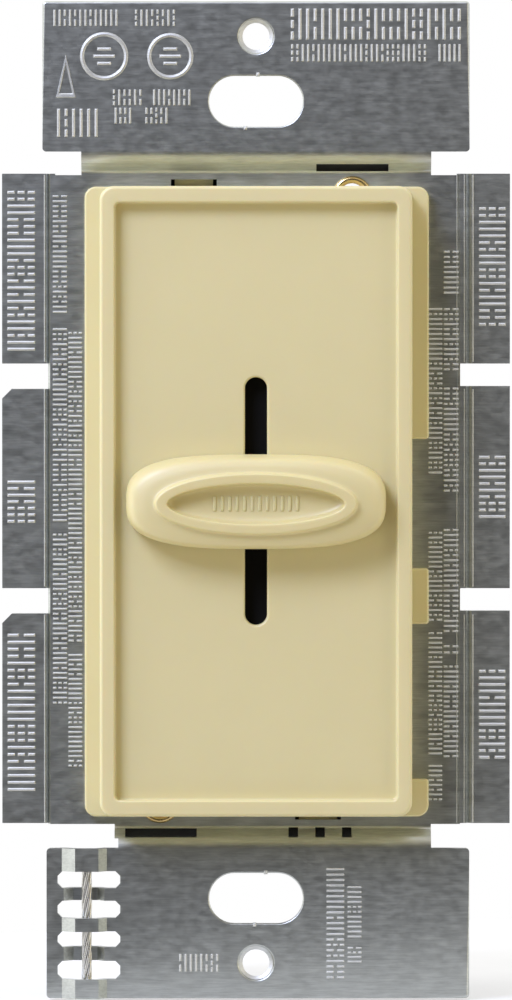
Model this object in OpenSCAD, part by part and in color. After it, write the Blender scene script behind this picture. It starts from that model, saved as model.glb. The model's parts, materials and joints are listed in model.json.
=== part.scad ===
// Slide dimmer switch for a one-gang wall box: an aluminium yoke that carries a rectangular bezel
// with a sliding knob in front, and a moulded housing with the dimmer circuit behind.
// X is across the device, Y runs back into the wall, Z is up. The origin is midway between the
// two device-screw slots, on the rear face of the mounting ears.

/* [Yoke] */
// Thickness of the aluminium sheet
sheet_t = 1.3; // [1:0.1:1.5]
// Height between the two device-screw slots
box_pitch = 83.3; // [83.3:0.1:83.4]
// Height between the two wallplate screw holes
cover_pitch = 96.84; // [96.8:0.01:96.9]
// Width of the mounting ears
ear_w = 44.6; // [44:0.1:46]
// How far the plate between the ears is set back into the box
joggle = 1.6; // [1.2:0.1:2]
// Width over the break-off fins
fin_w = 53.1; // [52:0.1:54]

/* [Bezel] */
// Width of the raised part, which fills a wallplate opening
bezel_w = 32.5; // [32:0.1:33]
// Height of the raised part
bezel_h = 65.6; // [65.4:0.1:66.2]
// Distance of the rim's front from the ears' rear face
bezel_front = 7; // [6.5:0.1:7.5]
// Width of the rim down the sides
rim_w = 1.55; // [1.4:0.05:1.6]
// Width of the rim across the ends
rim_end = 1.7; // [1.4:0.05:1.8]
// Depth of the recessed panel below the rim
recess = 1.4; // [1:0.1:1.6]
// Width of the knob's slot
slot_w = 2.3; // [2.2:0.1:2.6]

/* [Knob] */
// Width of the knob
knob_w = 27; // [26:0.1:27.6]
// Height of the knob
knob_h = 9.8; // [9.2:0.1:10]
// How far the knob stands out in front of the panel
knob_depth = 4.9; // [4:0.1:6]
// Travel of the knob each way from the middle
travel = 10; // [8:0.5:10]

/* [Housing] */
// Width of the rear housing
box_w = 42.4; // [41:0.1:42.4]
// Height of the rear housing, over the narrower ends behind the bends
box_h = 71.2; // [70:0.2:71.4]
// Height of the housing at its full width
box_side_h = 67.4; // [66:0.2:67.6]
// Distance of the housing's back from the ears' rear face
box_back = 31; // [30:0.5:34]
// Wall thickness of the housing
wall = 1.8; // [1.6:0.1:2]

/* [Hidden] */
$fn = 64;
cut = 1; // how far cutters run past the faces that they pass through

// Yoke levels
ear_front = -sheet_t;
plate_front = joggle - sheet_t;
plate_back = joggle;
ear_top = 52.1;
ear_r = 0.4; // radius of the ears' corners
ear_shy = 0.4; // how much further in the lower ear's left edge is
ear_inner = 36.5;
plate_top = 34.1;
body_x = [-21.75, 21.35];
bend_z = 35.3;
bend_r = 1.15; // radius of each bend, at the middle of the sheet
bend_a = 50;
bend_straight = (joggle - 2 * bend_r * (1 - cos(bend_a))) / sin(bend_a);
bend_half = bend_r * sin(bend_a) + bend_straight * cos(bend_a) / 2;
neck_left_top = -18.25;
neck_left_bottom = -14.8;
neck_right = 18.3;
fin_r = 1;
// Each fin's left and right inner edges, its ends in z and its chamfered corner
fins = [
    [-1, 14.25, 34.1, 0], [-1, -9.25, 11.6, 1], [-1, -33.85, -11.9, 1],
    [1, 14.25, 34.1, 0], [1, -9.25, 11.9, 0], [1, -33.85, -11.6, 0]];
// Score lines that let the fins break off: place, width and depth
scores = [[-21.75, 0.5, 0.35], [22.25, 0.65, 0.35], [21.2, 0.3, 0.1]];
screw_r = 1.75;
device_slot = [9.8, 5.3];
// Openings in the bends, each as its two ends in x and its two ends in z
bend_slots = [[6.3, 13.85, 34.35, 35.1], [-13.7, -6.2, -35.3, -34.4]];
bend_holes = [3.9, 6.7, 9.5]; // middles of the three square holes
bend_hole_z = [-35.3, -34.3];
window_x = [-10.6, 3.6]; // window for the carriage
window_z = 15.6;
window_r = 1;
hook_window_z = [31, 33.5];
side_window = [15.5, 2.3]; // middle and width of the windows for the side hooks

// Ladder that grips the bare ground conductor: five rungs with four gaps between them
rung_z = [-38.8, -41.9, -45.1, -48.2]; // top of each gap
rung_gap = [1.8, 1.8, 1.65, 1.9];
ladder_x = [-20.4, -14.4];
ladder_z = [-ear_top, 0.1 - ear_inner];
gap_x = [-20.75, -14.2];
gap_corner = 0.5;
bow = 1.25;
// Where the slopes start and end at the left and at the right, on rungs bowed forward and on those bowed back
bow_left = [[-20.3, -18.9], [-20.1, -19.1]];
bow_right = [[-16.45, -15.6], [-16.6, -15.85]];
rung_root = 0.9; // how far a rung runs on into the sheet at each end
wire_x = -17.7;
wire_z = [-51.4, -37];
wire_r = 0.55;
wire_y = -sheet_t / 2;

// Eyelets that hold the housing to the yoke
eyelet_x = 10.05;
eyelet_z = 31.75;
eyelet_r = 1.6;
eyelet_bore = 1.35;
eyelet_flange = 2.1;
eyelet_lip = 0.45;
eyelet_roll = 0.6; // how far the rear lip is rolled over
eyelet_play = 0.05;
ledge_back = 6;

// Left edge of the housing's top end, left edge of its bottom end, and their right edge
end_x = [-17.6, -14.3, 17.6];

// Bezel
panel_front = recess - bezel_front;
panel_t = 1.6;
panel_back = panel_front + panel_t;
flange_x = [-17.9, 18.05];
flange_z = [-33.1, 32.75];
flange_t = 1.4;
flange_r = 1.2;
flange_tabs = [[6.4, 32.75], [-12.95, -7.15], [-33.1, -29.2]]; // the right side's three tabs, in z
tab_r = 0.3;
tier_r = 1.5;
cavity = [14.65, 31.4]; // half width and half height of the hollow behind the panel
slot_h = 2 * travel + 5.8;
hook_x = -6.5;
hook_w = 4;
hook_play = 0.4; // gap on each side of a hook in its window
hook_step = [31.5, 32.8]; // the end hooks' inner and outer faces
hook_tip = 33.65; // how far out an end hook's barb reaches
hook_grip = 0.05; // gap between a barb and the yoke
hook_back = 0.9; // how far the hooks stand behind the yoke
hook_z = 23.4; // middle of the side hooks
side_hook_l = 5.2;
side_hook_x = [15.95, 16.85]; // a side hook's outer face and the tip of its barb
rib_w = 0.9; // ribs behind the panel
rib_l = 62;

// Knob and actuator
knob_gap = 0.15;
// Half widths and half heights of the ring round the knob's dish, from its foot to the dish's floor
ring_foot = [10.8, 3.6];
ring_outer = [10.45, 3.3];
ring_inner = [9.3, 2.2];
dish_wall = [9.05, 2];
dish_floor = [6, 1.2];
ring_rise = 0.45;
ring_drop = 0.15; // how far the ring sits below the knob's middle
dish_depth = 1.5;
stem = [1.9, 5.4];
stem_fit = 0.04; // how much larger the actuator's socket is
actuator_w = 6;
actuator_h = 42;
actuator_front = panel_back + 0.15;
actuator_t = 1.4;
shoe_x = [-12.2, 5.4];
shoe_back = plate_front - 0.2;
shoe_z = 5;
boss = [2.4, 4.5, 1.9]; // half width, half height and back of the boss round the lever
leg_x = [-9.7, -6.9]; // leg that carries the switch bridge
leg_back = 4.4;
leg_z = 3.5;

// Slide potentiometer, with 20 mm of travel
pot_w = 9;
pot_h = 35;
pot_front = 2.6;
pot_shell = 0.4;
element_y = [7.6, 8.7];
track_x = 1.9; // middle of each resistive track
track_w = 1.8;
track_l = 30;
pin_z = 16.2;
carriage = [6.4, 6, 6.7]; // width, height and back
lever = [1.2, 4];
lever_front = -1;

// Board and what it carries
board_front = 9;
board_t = 1.6;
board_back = board_front + board_t;
lead_front = board_front - 0.2;
board_w = 38;
board_h = 63;
post_xz = [[-16, -10], [16, 20]];
fibre_t = 0.4; // insulating sheet
triac_x = 11.5;
triac_z = 13.5; // top of the triac's package
triac_w = 10.2;
triac_tab_t = 1.3;
triac_tab_top = 6.4;
triac_h = 9; // height of the part of the tab behind the package
triac_back = 4.5;
triac_pitch = 2.54; // between its leads
triac_lead_z = -1;
triac_tab_hole = 3.5;
triac_hole_r = 1.65;
core_xz = [6.5, -18];
core_y = 16.1;
core_R = 7.5;
core_r = 3.7;
coil_wire = 0.9;
turns = 17;
coil_lead = [2, 14]; // where the coil's ends meet the board, from the core's middle
clip_r = [1.4, 6]; // choke clip's post and head
cap_xz = [6, 6];
cap_size = [18, 13, 8.5];
cap_lead = 7.5; // leads' distance from the middle
small_cap_xz = [-11, 8];
small_cap = [10, 9, 5];
small_cap_lead = 3.5;
axial_x = -10; // middle of the resistors and the diac
resistor_z = [15, 19];
resistor_span = 5;
diac_z = 23;
diac_span = 4;
terminal_xz = [[-12, 28.2], [-4, 28.2]];
rail_x = [-9.9, -6.7];
rail_w = 1.4;
rail_y = [5.6, 6.2];
rail_z = [-8, 12.5];
rail_foot = 1.5;
bridge_front = 4.4;
bridge_t = 0.3;
contact_gap = 0.03;

// Extrudes an outline drawn in X and Z from y0 back to y1
module slab(y0, y1) { translate([0, y1, 0]) rotate([90, 0, 0]) linear_extrude(y1 - y0) children(); }
// Extrudes a section drawn in Y and Z from x0 to x1
module bar(x0, x1) { translate([x0, 0, 0]) rotate([90, 0, 90]) linear_extrude(x1 - x0) children(); }
// Box between two corners
module box(lo, hi) { translate(lo) cube(hi - lo); }
// Cylinder along Y from y0 to y1 at [x, z]
module rod(xz, r, y0, y1) { translate([xz[0], y1, xz[1]]) rotate([90, 0, 0]) cylinder(r = r, h = y1 - y0); }
// Rectangle between two corners, with round corners of radius r
module rounded(lo, hi, r) {
    translate([lo[0] + r, lo[1]]) square([hi[0] - lo[0] - 2 * r, hi[1] - lo[1]]);
    translate([lo[0], lo[1] + r]) square([hi[0] - lo[0], hi[1] - lo[1] - 2 * r]);
    for (x = [lo[0] + r, hi[0] - r], z = [lo[1] + r, hi[1] - r]) translate([x, z]) circle(r);
}
// Slot with round ends, w wide and h high
module obround(w, h) {
    r = min(w, h) / 2;
    if (w > h) {
        square([w - 2 * r, h], center = true);
        for (s = [-1, 1]) translate([s * (w / 2 - r), 0]) circle(r);
    } else {
        square([w, h - 2 * r], center = true);
        for (s = [-1, 1]) translate([0, s * (h / 2 - r)]) circle(r);
    }
}
// The same thing at the top and, turned half round about Y, at the bottom
module both_ends() { children(); rotate([0, 180, 0]) children(); }

// ---- Yoke ----
module fin(side, z0, z1, chamfered) {
    x0 = 21;
    x1 = fin_w / 2;
    c = chamfered ? fin_r : 0;
    mirror([side < 0 ? 1 : 0, 0]) polygon([[x0, z0], [x1, z0], [x1, z1 - c], [x1 - c, z1], [x0, z1]]);
}
module ear_slots(z) {
    translate([0, z * box_pitch / 2]) obround(device_slot[0], device_slot[1]);
}
// One face of the bent sheet, from the ear to the plate, at a distance side from its middle
function bend_face(side) = let (y0 = -sheet_t / 2 + bend_r, y1 = joggle - sheet_t / 2 - bend_r) concat(
    [[y0 - bend_r + side, bend_z + 1.8]],
    [for (a = [0:bend_a / 8:bend_a])
        [y0 - (bend_r - side) * cos(a), bend_z + bend_half - (bend_r - side) * sin(a)]],
    [for (a = [bend_a:-bend_a / 8:0])
        [y1 + (bend_r + side) * cos(a), bend_z - bend_half + (bend_r + side) * sin(a)]],
    [[y1 + bend_r + side, bend_z - 2.3]]);
module neck_section() {
    front = bend_face(-sheet_t / 2);
    back = bend_face(sheet_t / 2);
    polygon(concat(front, [for (i = [len(back) - 1:-1:0]) back[i]]));
}
// Rung between two heights, bowed forward where side is -1 and back where it is 1
module rung(z0, z1, side) {
    left = bow_left[side < 0 ? 0 : 1];
    right = bow_right[side < 0 ? 0 : 1];
    x0 = ladder_x[0] - rung_root;
    x1 = ladder_x[1] + rung_root;
    top = side * bow;
    shift = side * 0.3; // the rear face's corners, moved along so that the slopes keep their thickness
    translate([0, 0, z0]) linear_extrude(z1 - z0) translate([0, ear_front]) polygon([
        [x0, 0], [left[0], 0], [left[1], top], [right[0], top], [right[1], 0], [x1, 0],
        [x1, sheet_t], [right[1] + shift, sheet_t], [right[0] + shift, top + sheet_t],
        [left[1] - shift, top + sheet_t], [left[0] - shift, sheet_t], [x0, sheet_t]]);
}
module gap_outline(z0, z1) {
    c = gap_corner;
    polygon([[gap_x[0] + c, z0], [gap_x[1] - c, z0], [gap_x[1], z0 + c], [gap_x[1], z1 - c],
        [gap_x[1] - c, z1], [gap_x[0] + c, z1], [gap_x[0], z1 - c], [gap_x[0], z0 + c]]);
}
module yoke_blank() {
    slab(ear_front, 0) rounded([-ear_w / 2, ear_inner - 0.1], [ear_w / 2, ear_top], ear_r);
    slab(ear_front, 0) rounded([-ear_w / 2 + ear_shy, -ear_top], [ear_w / 2, 0.1 - ear_inner], ear_r);
    bar(neck_left_top, neck_right) neck_section();
    mirror([0, 0, 1]) bar(neck_left_bottom, neck_right) neck_section();
    slab(plate_front, plate_back) {
        translate([body_x[0], 0.15 - plate_top]) square([body_x[1] - body_x[0], 2 * plate_top - 0.3]);
        for (f = fins) fin(f[0], f[1], f[2], f[3] > 0);
    }
}
module score(s) {
    translate([s[0], plate_front, 0]) linear_extrude(2 * plate_top + 2 * cut, center = true)
        polygon([[-s[1] / 2, -0.05], [s[1] / 2, -0.05], [0, s[2]]]);
}
module bend_opening(x0, x1, z0, z1) { box([x0, ear_front - cut, z0], [x1, plate_back + cut, z1]); }
module mounting_yoke() color("darkgray") {
    rung_high = concat([ladder_z[1]], [for (i = [0:3]) rung_z[i] - rung_gap[i]]);
    rung_low = concat(rung_z, [ladder_z[0]]);
    difference() {
        yoke_blank();
        for (s = [-1, 1]) {
            rod([0, s * cover_pitch / 2], screw_r, ear_front - cut, cut);
            slab(ear_front - cut, cut) ear_slots(s);
        }
        for (s = scores) score(s);
        // Slots along the bends and the three square holes beside the lower one
        for (b = bend_slots) bend_opening(b[0], b[1], b[2], b[3]);
        for (x = bend_holes) bend_opening(x - 0.5, x + 0.5, bend_hole_z[0], bend_hole_z[1]);
        // Windows for the carriage, the bezel's hooks and the rivets
        slab(plate_front - cut, plate_back + cut) {
            rounded([window_x[0], -window_z], [window_x[1], window_z], window_r);
            for (s = [1, -1]) {
                scale(s) translate([hook_x - hook_w / 2 - hook_play, hook_window_z[0]])
                    square([hook_w + 2 * hook_play, hook_window_z[1] - hook_window_z[0]]);
                translate([s * side_window[0], s * hook_z])
                    square([side_window[1], side_hook_l + 2 * hook_play], center = true);
                scale(s) translate([eyelet_x, eyelet_z]) circle(eyelet_r + eyelet_play);
            }
            translate([triac_x, triac_z + triac_tab_hole]) circle(triac_hole_r);
        }
        // Room for the ladder's rungs, and the gaps between them
        for (i = [0:4]) box([ladder_x[0], ear_front - cut, rung_low[i] - (i == 4 ? cut : 0)],
            [ladder_x[1], cut, rung_high[i] + (i == 0 ? cut : 0)]);
        slab(ear_front - cut, cut) for (i = [0:3]) gap_outline(rung_high[i + 1], rung_low[i]);
    }
    for (i = [0:4]) rung(rung_low[i], rung_high[i], i % 2 == 0 ? -1 : 1);
}

module ground_conductor() color("silver")
    translate([wire_x, wire_y, wire_z[0]]) cylinder(r = wire_r, h = wire_z[1] - wire_z[0]);

// ---- Front ----
module flange_outline() intersection() {
    rounded([flange_x[0], flange_z[0]], [flange_x[1], flange_z[1]], flange_r);
    union() {
        rounded([flange_x[0], flange_z[0]], [0, flange_z[1]], tab_r);
        for (s = flange_tabs) rounded([-1, s[0]], [flange_x[1], s[1]], tab_r);
    }
}
module snap_hook() {
    x = [hook_x - hook_w / 2, hook_x + hook_w / 2];
    box([x[0], plate_front - 0.2, hook_step[0]], [x[1], plate_back + hook_back, hook_step[1]]);
    bar(x[0], x[1]) polygon([[plate_back + hook_grip, hook_step[1]], [plate_back + hook_grip, hook_tip],
        [plate_back + hook_back, hook_step[1]]]);
}
module side_hook() translate([0, 0, hook_z - side_hook_l / 2]) {
    box([cavity[0], plate_front - 0.2, 0], [side_hook_x[0], plate_back + hook_back, side_hook_l]);
    linear_extrude(side_hook_l) polygon([[side_hook_x[0] - 0.05, plate_back + hook_grip],
        [side_hook_x[1], plate_back + hook_grip], [side_hook_x[0] - 0.05, plate_back + hook_back]]);
}
module bezel() color("wheat") {
    x = bezel_w / 2;
    z = bezel_h / 2;
    difference() {
        union() {
            slab(-bezel_front, plate_front) rounded([-x, -z], [x, z], tier_r);
            slab(plate_front - flange_t, plate_front) flange_outline();
            both_ends() {
                snap_hook();
                side_hook();
            }
        }
        slab(-bezel_front - cut, panel_front)
            rounded([-x + rim_w, -z + rim_end], [x - rim_w, z - rim_end], 0.5);
        slab(panel_back, plate_front + cut) rounded(-cavity, cavity, 0.8);
        slab(panel_front - cut, panel_back + cut) obround(slot_w, slot_h);
        both_ends() rod([eyelet_x, eyelet_z], eyelet_flange + 0.25, plate_front - 0.75, plate_front + cut);
    }
    // Ribs behind the panel that guide the actuator
    for (s = [-1, 1]) translate([s * (actuator_w / 2 + rib_w / 2 + 0.15), 0, 0])
        box([-rib_w / 2, panel_back - 0.1, -rib_l / 2], [rib_w / 2, panel_back + 0.8, rib_l / 2]);
}

// Superellipse with half width and half height ab at depth y, its middle drop below the origin
function oval(ab, p, y, drop = 0, n = 56) = [for (i = [0:n - 1]) let (c = cos(360 * i / n), s = sin(360 * i / n))
    [ab[0] * sign(c) * pow(abs(c), 2 / p), y, ab[1] * sign(s) * pow(abs(s), 2 / p) - drop]];
// Closed shell through a list of rings with n points each
module loft(rings) {
    n = len(rings[0]);
    m = len(rings);
    pts = [for (r = rings, q = r) q];
    sides = [for (j = [0:m - 2], i = [0:n - 1]) let (k = (i + 1) % n)
        [j * n + i, (j + 1) * n + i, (j + 1) * n + k, j * n + k]];
    polyhedron(pts, concat(sides, [[for (i = [0:n - 1]) i], [for (i = [n - 1:-1:0]) (m - 1) * n + i]]),
        convexity = 4);
}
module slide_knob() color("moccasin") {
    half = [knob_w / 2, knob_h / 2];
    y0 = panel_front - knob_gap;
    y1 = panel_front - knob_depth;
    loft([oval(half - [0.1, 0.1], 3.4, y0), oval(half, 3.2, y0 - 0.7), oval(half - [0.4, 0.2], 3, y0 - 2),
        oval(half - [1.35, 0.65], 2.75, y1 + 1.2, ring_drop / 2),
        oval(half - [2.1, 1], 2.45, y1 + ring_rise + 0.25, ring_drop),
        oval(ring_foot, 2.1, y1 + ring_rise, ring_drop), oval(ring_outer, 2.05, y1, ring_drop),
        oval(ring_inner, 1.9, y1, ring_drop), oval(dish_wall, 1.85, y1 + 0.4, ring_drop),
        oval(dish_floor, 1.85, y1 + dish_depth - 0.2, ring_drop),
        oval([2, 0.4], 2, y1 + dish_depth, ring_drop)]);
    slab(y0 - 0.1, panel_back + 1.25) obround(stem[0], stem[1]);
}
module slide_actuator() color("dimgray") {
    back = actuator_front + actuator_t;
    difference() {
        union() {
            slab(actuator_front, back)
                rounded([-actuator_w / 2, -actuator_h / 2], [actuator_w / 2, actuator_h / 2], 0.8);
            box([shoe_x[0], panel_back + 0.95, -shoe_z], [shoe_x[1], shoe_back, shoe_z]);
            box([-boss[0], shoe_back - 0.1, -boss[1]], [boss[0], boss[2], boss[1]]);
            box([leg_x[0], shoe_back - 0.1, -leg_z], [leg_x[1], leg_back, leg_z]);
        }
        slab(actuator_front - cut, panel_back + 1.3) obround(stem[0] + stem_fit, stem[1] + stem_fit);
        box([-(lever[0] + stem_fit) / 2, lever_front - 0.1, -(lever[1] + stem_fit) / 2],
            [(lever[0] + stem_fit) / 2, boss[2] + cut, (lever[1] + stem_fit) / 2]);
    }
}

// ---- Yoke to housing ----
module insulating_sheet() color("tan")
    slab(plate_back, plate_back + fibre_t) difference() {
        housing_outline(wall + 0.3, 0.6);
        square([22.4, 2 * window_z + 0.4], center = true);
        translate([triac_x, triac_z - 1.2]) square([11.6, 18], center = true);
        for (s = [1, -1]) {
            scale(s) translate([hook_x - hook_w / 2 - 0.5, 30.9]) square([hook_w + 1, 5]);
            translate([s * (side_window[0] + 0.3), s * hook_z]) square([3.4, side_hook_l + 1], center = true);
            scale(s) translate([eyelet_x, eyelet_z]) circle(eyelet_r + 0.2);
        }
    }
module eyelet() translate([eyelet_x, 0, eyelet_z]) rotate([90, 0, 0]) rotate_extrude()
    polygon([[eyelet_bore, -ledge_back - eyelet_roll], [eyelet_flange, -ledge_back - eyelet_lip],
        [eyelet_flange, -ledge_back], [eyelet_r, -ledge_back], [eyelet_r, -plate_front],
        [eyelet_flange, -plate_front], [eyelet_flange, eyelet_lip - plate_front - 0.15],
        [eyelet_flange - 0.2, eyelet_lip - plate_front], [eyelet_bore, eyelet_lip - plate_front]]);
module housing_rivets() color("goldenrod") both_ends() eyelet();

// Outline of the housing, drawn in by inset: full width between the bends, narrower behind them
module housing_outline(inset, r) {
    x = box_w / 2 - inset;
    z = box_side_h / 2 - inset;
    end = box_h / 2 - inset;
    rounded([-x, -z], [x, z], r);
    rounded([end_x[0] + inset, 0], [end_x[2] - inset, end], r);
    rounded([end_x[1] + inset, -end], [end_x[2] - inset, 0], r);
}
module rivet_pocket(grow, y0, y1) {
    box([5.6 - grow, y0, 28 - grow], [14.5 + grow, y1, box_h / 2 + cut]);
}
module rear_housing() color("dimgray") {
    difference() {
        union() {
            difference() {
                slab(plate_back, box_back) housing_outline(0, 1.2);
                slab(plate_back - cut, box_back - wall) housing_outline(wall, 0.6);
            }
            // Ledges that take the eyelets, walled off from the inside
            intersection() {
                both_ends() rivet_pocket(1.6, plate_back + fibre_t, box_back);
                slab(plate_back, box_back) housing_outline(0.2, 1.2);
            }
            for (p = post_xz) rod(p, 2.6, board_back, box_back - wall / 2);
        }
        both_ends() {
            rivet_pocket(0, ledge_back, box_back + cut);
            rod([eyelet_x, eyelet_z], eyelet_r + eyelet_play, plate_back - cut, ledge_back + cut);
        }
        for (p = post_xz) rod(p, 0.97, board_back - cut, board_back + 8);
        for (t = terminal_xz) rod(t, 1.8, box_back - wall - cut, box_back + cut);
    }
}

// ---- Slide potentiometer ----
module pot_cover() color("silver") difference() {
    box([-pot_w / 2, pot_front, -pot_h / 2], [pot_w / 2, element_y[0], pot_h / 2]);
    box([-pot_w / 2 + pot_shell, pot_front + pot_shell, -pot_h / 2 + pot_shell],
        [pot_w / 2 - pot_shell, element_y[0] + cut, pot_h / 2 - pot_shell]);
    slab(pot_front - cut, pot_front + cut) rounded([-0.85, -travel - 2.4], [0.85, travel + 2.4], 0.8);
}
module pot_element() color("saddlebrown") {
    box([-pot_w / 2, element_y[0], -pot_h / 2], [pot_w / 2, element_y[1], pot_h / 2]);
    for (x = [-track_x, track_x])
        box([x - track_w / 2, element_y[0] - 0.12, -track_l / 2],
            [x + track_w / 2, element_y[0] + 0.05, track_l / 2]);
}
function pin_xz() = [[-track_x, -pin_z], [track_x, -pin_z], [track_x, pin_z]];
module pot_terminals() color("silver") for (p = pin_xz()) rod(p, 0.4, element_y[1], board_back + 0.6);
module pot_carriage() color("ivory") {
    box([-carriage[0] / 2, pot_front + pot_shell + 0.1, -carriage[1] / 2],
        [carriage[0] / 2, carriage[2], carriage[1] / 2]);
    box([-lever[0] / 2, lever_front, -lever[1] / 2],
        [lever[0] / 2, pot_front + pot_shell + 0.3, lever[1] / 2]);
}
module pot_wiper() color("darkgoldenrod") {
    front = carriage[2];
    box([-2.9, front, -2.6], [2.9, front + 0.2, 2.6]);
    for (x = [-track_x, track_x]) bar(x - 0.5, x + 0.5) translate([front, 0])
        polygon([[0.1, 0.7], [0.25, 0.7], [0.75, -1.9], [0.75, -2.4], [0.6, -2.4], [0.6, -1.95], [0.1, 0]]);
}

// ---- Board ----
module board_outline() difference() {
    square([board_w, board_h], center = true);
    for (s = [1, -1]) scale(s) translate([3.6, 26]) square([12.9, 10]);
}
function lead_xz() = concat(
    [for (x = [-1, 0, 1]) [triac_x + triac_pitch * x, triac_lead_z]],
    [for (s = [-1, 1]) [cap_xz[0] + s * cap_lead, cap_xz[1]]],
    [for (s = [-1, 1]) [small_cap_xz[0] + s * small_cap_lead, small_cap_xz[1]]],
    [for (z = resistor_z, s = [-1, 1]) [axial_x + s * resistor_span, z]],
    [for (s = [-1, 1]) [axial_x + s * diac_span, diac_z]],
    [for (s = [-1, 1]) [core_xz[0] + s * coil_lead[0], core_xz[1] + coil_lead[1]]], pin_xz());
module circuit_board() color("darkgreen") difference() {
    slab(board_front, board_back) board_outline();
    for (p = lead_xz()) rod(p, 0.5, board_front - cut, board_back + cut);
    for (p = post_xz) rod(p, 1.3, board_front - cut, board_back + cut);
    for (t = terminal_xz) rod(t, 1.1, board_front - cut, board_back + cut);
    for (x = rail_x, z = [rail_z[0], rail_z[1] - rail_foot])
        box([x - 0.55, board_front - cut, z - 0.05], [x + 0.55, board_back + cut, z + rail_foot + 0.05]);
}
module board_screws() color("silver") for (p = post_xz) difference() {
    union() {
        rod(p, 0.95, board_front, board_back + 6);
        rod(p, 2.1, board_front - 1.2, board_front);
    }
    translate([p[0], board_front - 1.2, p[1]]) {
        cube([2.6, 1, 0.5], center = true);
        cube([0.5, 1, 2.6], center = true);
    }
}
module triac_leadframe() color("silver") difference() {
    union() {
        box([triac_x - triac_w / 2, plate_back, triac_z - triac_h],
            [triac_x + triac_w / 2, plate_back + triac_tab_t, triac_z + triac_tab_top]);
        for (x = [-1, 0, 1]) translate([triac_x + triac_pitch * x, plate_back, 0]) {
            box([-0.4, 2.35, triac_lead_z - 0.25], [0.4, 2.85, triac_z - triac_h - 0.2]);
            box([-0.4, 2.35, triac_lead_z - 0.25], [0.4, board_back + 0.5 - plate_back, triac_lead_z + 0.25]);
        }
    }
    rod([triac_x, triac_z + triac_tab_hole], triac_hole_r, plate_back - cut, plate_back + triac_tab_t + cut);
}
module triac_package() color("black") difference() {
    box([triac_x - triac_w / 2, plate_back + 0.3, triac_z - triac_h - 0.2],
        [triac_x + triac_w / 2, plate_back + triac_back, triac_z]);
    box([triac_x - triac_w / 2 - cut, plate_back - cut, triac_z - triac_h],
        [triac_x + triac_w / 2 + cut, plate_back + triac_tab_t, triac_z + cut]);
}
module triac_rivet() color("silver") {
    p = [triac_x, triac_z + triac_tab_hole];
    tab_back = plate_back + triac_tab_t;
    rod(p, triac_hole_r - 0.05, plate_front, tab_back);
    rod(p, 2.8, plate_front - 0.8, plate_front);
    rod(p, 2.3, tab_back, tab_back + 0.7);
}
module choke_core() color("gray") translate([core_xz[0], core_y, core_xz[1]]) rotate([90, 0, 0])
    rotate_extrude($fn = 96) translate([core_R, 0]) circle(core_r);
// Coil's centre line: 330 degrees round the core, one loop of the wire for each turn
function coil_point(u) = let (a = 105 + 330 * u, b = 360 * turns * u, r = core_R + coil_r() * cos(b))
    [core_xz[0] + r * cos(a), core_y - coil_r() * sin(b), core_xz[1] + r * sin(a)];
function coil_r() = core_r + coil_wire / 2 + 0.12;
function unit(v) = v / norm(v);
module choke_winding() color("sienna") {
    steps = turns * 15;
    x = [core_xz[0] - coil_lead[0], core_xz[0] + coil_lead[0]];
    z = core_xz[1] + coil_lead[1];
    bend = board_back + 1.2;
    path = concat([[x[0], lead_front, z], [x[0], bend, z]], [for (i = [0:steps]) coil_point(i / steps)],
        [[x[1], bend, z], [x[1], lead_front, z]]);
    last = len(path) - 1;
    sides = 6;
    rings = [for (i = [0:last])
        let (d = unit(path[min(i + 1, last)] - path[max(i - 1, 0)]),
            mid = path[i] - [core_xz[0], core_y, core_xz[1]],
            hub = [core_xz[0], core_y, core_xz[1]]
                + core_R * unit([mid[0], 0, mid[2]]),
            n0 = unit(path[i] - hub), u = unit(cross(d, n0)), v = cross(u, d))
        [for (k = [0:sides - 1]) path[i] + coil_wire / 2 * (cos(60 * k) * v + sin(60 * k) * u)]];
    loft(rings);
}
module choke_clip() color("white") {
    // Post that stands on the board through the core's hub, with a round head over the coil
    coil_back = core_y + core_r + coil_wire;
    rod(core_xz, clip_r[0], board_back, coil_back + 0.8);
    rod(core_xz, clip_r[1], coil_back + 0.5, coil_back + 1.7);
}
module leads(xs, z, y1) for (x = xs) rod([x, z], 0.4, lead_front, y1);
// Boxed part that stands on the board: its middle, its size in x, y and z, and its leads' distance
module boxed(xz, size, lead) {
    y0 = board_back + 0.3;
    half = [size[0], size[2]] / 2;
    slab(y0, y0 + size[1]) rounded(xz - half, xz + half, 0.8);
    leads([xz[0] - lead, xz[0] + lead], xz[1], y0 + 0.2);
}
module film_capacitor() color("firebrick") boxed(cap_xz, cap_size, cap_lead);
module timing_capacitor() color("orangered") boxed(small_cap_xz, small_cap, small_cap_lead);
// Axial part on the board: body, and leads bent down through the board
module axial(x, z, r, h, span) {
    y = board_back + r + 0.3;
    translate([x - h / 2, y, z]) rotate([0, 90, 0]) cylinder(r = r, h = h);
    translate([x - span, y, z]) rotate([0, 90, 0]) cylinder(r = 0.3, h = 2 * span);
    for (s = [-1, 1]) rod([x + s * span, z], 0.3, lead_front, y + 0.3);
}
module resistors() color("peru") for (z = resistor_z) axial(axial_x, z, 1.2, 6.3, resistor_span);
module diac() color("steelblue") axial(axial_x, diac_z, 0.95, 4, diac_span);

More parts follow.
